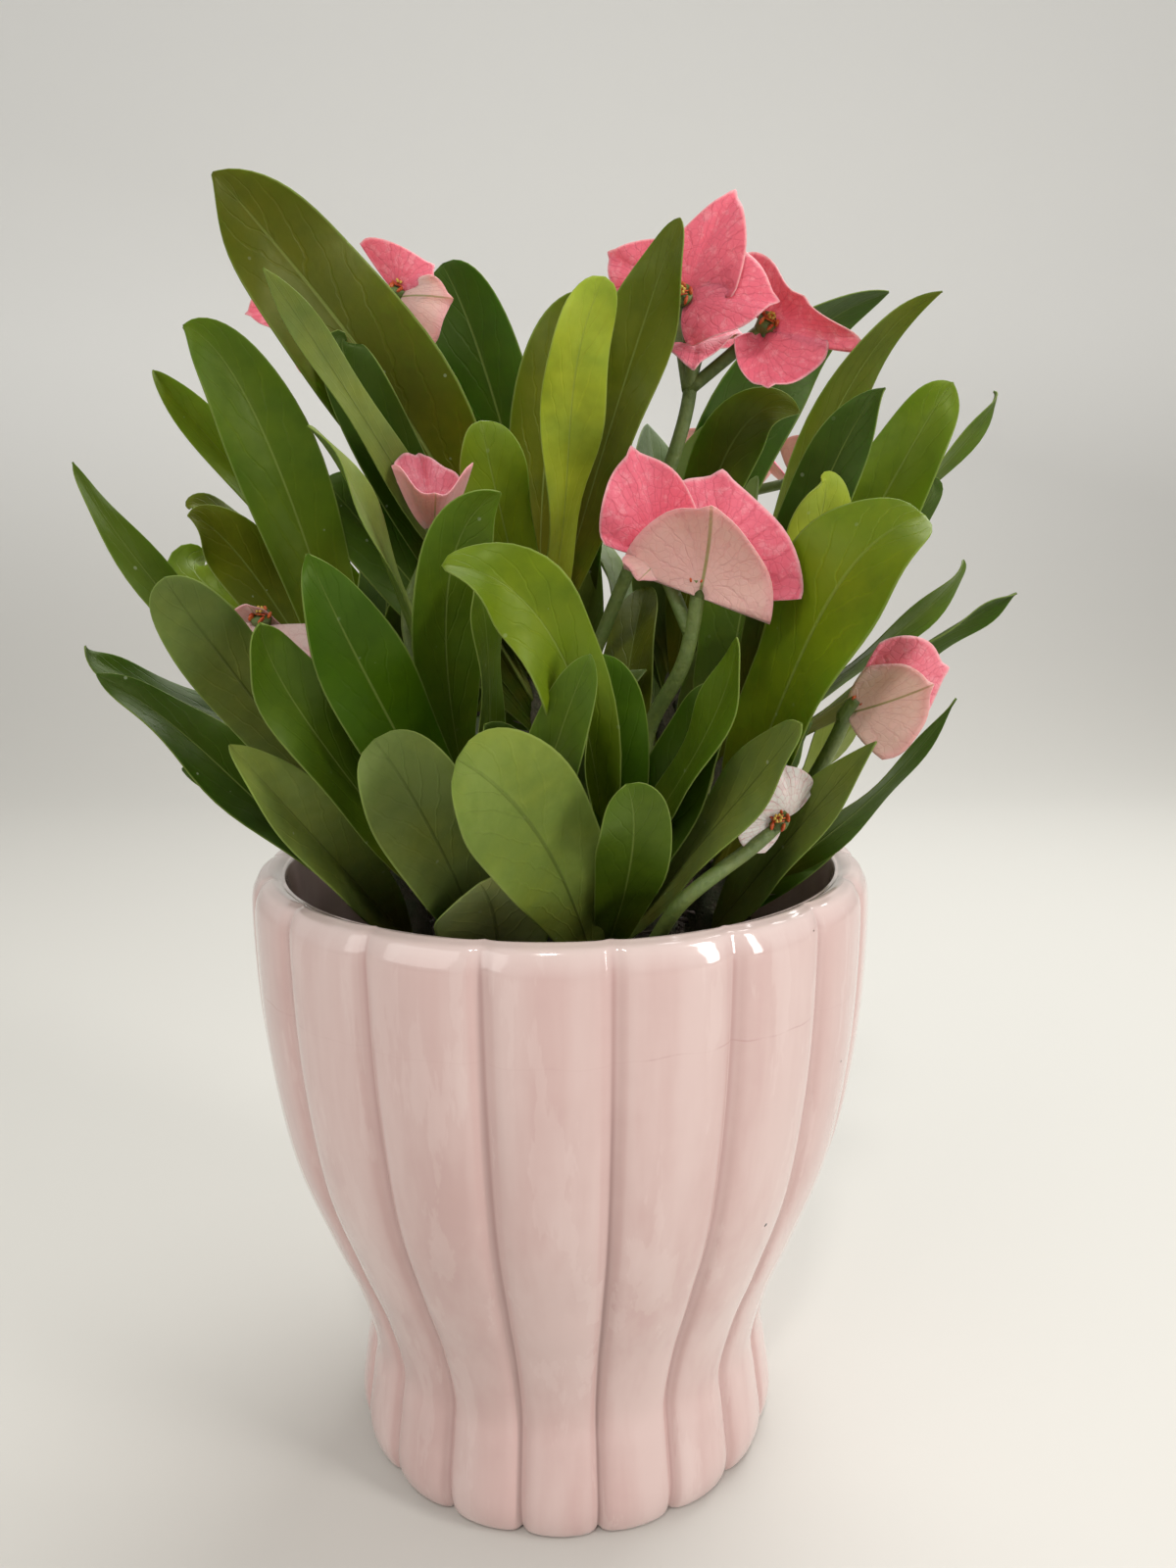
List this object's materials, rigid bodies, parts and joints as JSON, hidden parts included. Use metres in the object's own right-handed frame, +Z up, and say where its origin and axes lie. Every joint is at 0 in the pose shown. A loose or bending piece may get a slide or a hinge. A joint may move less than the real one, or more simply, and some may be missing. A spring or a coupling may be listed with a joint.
{
  "type": "potted crown of thorns plant",
  "caption": "Crown of thorns succulent with thorny stems, blunt leaves and paired pink bracts, standing in a round glazed pot with vertical flutes and a waisted foot.",
  "frame": {"origin": "centre of the pot's flat underside", "axes": "+Z up along the pot's axis; -Y towards the viewer of the picture"},
  "size_m": [0.2019, 0.1644, 0.2761],
  "materials": {
    "glaze": "high gloss pale pink glaze on fired clay",
    "soil": "dark moist potting soil",
    "foliage": "satin leaf green on grey-brown thorny stems",
    "bract": "velvety pink bracts on green peduncles"
  },
  "bodies": {
    "root": {"back_left_stem": "foliage", "back_right_stem": "foliage", "back_stem": "foliage", "bloom_back_left": "bract", "bloom_back_right": "bract", "bloom_far_left": "bract", "bloom_far_right": "bract", "bloom_left": "bract", "bloom_right": "bract", "bloom_top_left": "bract", "bloom_top_right": "bract", "bloom_wilted": "bract", "centre_stem": "foliage", "front_left_stem": "foliage", "front_stem": "foliage", "left_stem": "foliage", "pot": "glaze", "right_stem": "foliage", "soil": "soil"}
  },
  "joints": []
}
